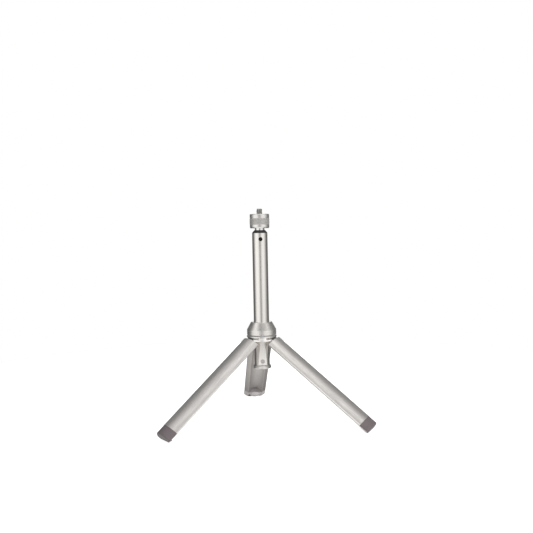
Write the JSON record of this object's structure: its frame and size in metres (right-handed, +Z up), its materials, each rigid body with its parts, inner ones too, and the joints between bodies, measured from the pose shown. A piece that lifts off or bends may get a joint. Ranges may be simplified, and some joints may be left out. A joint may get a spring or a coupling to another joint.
{
  "type": "tabletop tripod",
  "caption": "Tabletop tripod with folding channel legs on a conical hub, a sliding centre column, a telescoping rod with a push-button release, and a knurled collar with a camera stud.",
  "frame": {"origin": "on the table under the column's axis, legs open", "axes": "+Z up along the column, rear leg along +Y, release button facing -Y"},
  "size_m": [0.2174, 0.192, 0.2234],
  "materials": {
    "turned_aluminium": "satin anodised, clear",
    "blasted_aluminium": "fine blasted, clear anodised",
    "polished_steel": "polished",
    "steel": "plain machined",
    "black_steel": "black oxide",
    "black_plastic": "matt black",
    "black_button": "gloss black",
    "black_rubber": "matt black",
    "taupe_rubber": "matt warm grey",
    "pale_rubber": "matt pale grey"
  },
  "bodies": {
    "hub": {"hub_body": "turned_aluminium", "hinge_pins": "steel", "collet": "black_plastic", "thrust_washer": "black_plastic"},
    "ring": {"clamp_ring": "turned_aluminium"},
    "column": {"column_tube": "turned_aluminium", "end_plug": "turned_aluminium", "plug_screws": "steel", "lower_bush": "black_plastic", "mouth_bush": "black_plastic", "button_spring": "steel"},
    "button": {"release_button": "black_button", "lock_plate": "steel"},
    "rod": {"extension_rod": "polished_steel", "rod_piston": "black_plastic", "head_stem": "polished_steel"},
    "collar": {"head_collar": "turned_aluminium", "collar_retainer": "steel", "stud_pad": "black_rubber", "camera_stud": "steel"},
    "rear_leg": {"rear_leg_shell": "blasted_aluminium", "rear_knuckle": "steel", "rear_knuckle_screw": "steel", "rear_foot_cap": "taupe_rubber", "rear_foot_pad": "pale_rubber", "rear_foot_screw": "black_steel"},
    "left_leg": {"left_leg_shell": "blasted_aluminium", "left_knuckle": "steel", "left_knuckle_screw": "steel", "left_foot_cap": "taupe_rubber", "left_foot_pad": "pale_rubber", "left_foot_screw": "black_steel"},
    "right_leg": {"right_leg_shell": "blasted_aluminium", "right_knuckle": "steel", "right_knuckle_screw": "steel", "right_foot_cap": "taupe_rubber", "right_foot_pad": "pale_rubber", "right_foot_screw": "black_steel"}
  },
  "joints": [
    {"name": "clamp_turn", "type": "hinge", "parent": "hub", "child": "ring", "pos_m": [0, 0, 0.0985], "axis": [0, 0, 1], "range_deg": [0, 75]},
    {"name": "column_slide", "type": "slide", "parent": "hub", "child": "column", "axis": [0, 0, 1], "range_m": [-0.05, 0.0255]},
    {"name": "rod_extend", "type": "slide", "parent": "column", "child": "rod", "axis": [0, 0, 1], "range_m": [0, 0.1]},
    {"name": "button_press", "type": "slide", "parent": "column", "child": "button", "axis": [0, 1, 0], "range_m": [0, 0.0009], "stiffness_N_per_m": 1500, "springref_m": -0.0008},
    {"name": "collar_turn", "type": "hinge", "parent": "rod", "child": "collar", "pos_m": [0, 0, 0.2105], "axis": [0, 0, 1], "continuous": true},
    {"name": "rear_leg_fold", "type": "hinge", "parent": "hub", "child": "rear_leg", "pos_m": [0, 0.0102, 0.08888], "axis": [-1, 0, 0], "range_deg": [0, 52]},
    {"name": "left_leg_fold", "type": "hinge", "parent": "hub", "child": "left_leg", "pos_m": [-0.00883, -0.0051, 0.08888], "axis": [0.5, -0.866, 0], "range_deg": [0, 52]},
    {"name": "right_leg_fold", "type": "hinge", "parent": "hub", "child": "right_leg", "pos_m": [0.00883, -0.0051, 0.08888], "axis": [0.5, 0.866, 0], "range_deg": [0, 52]}
  ]
}
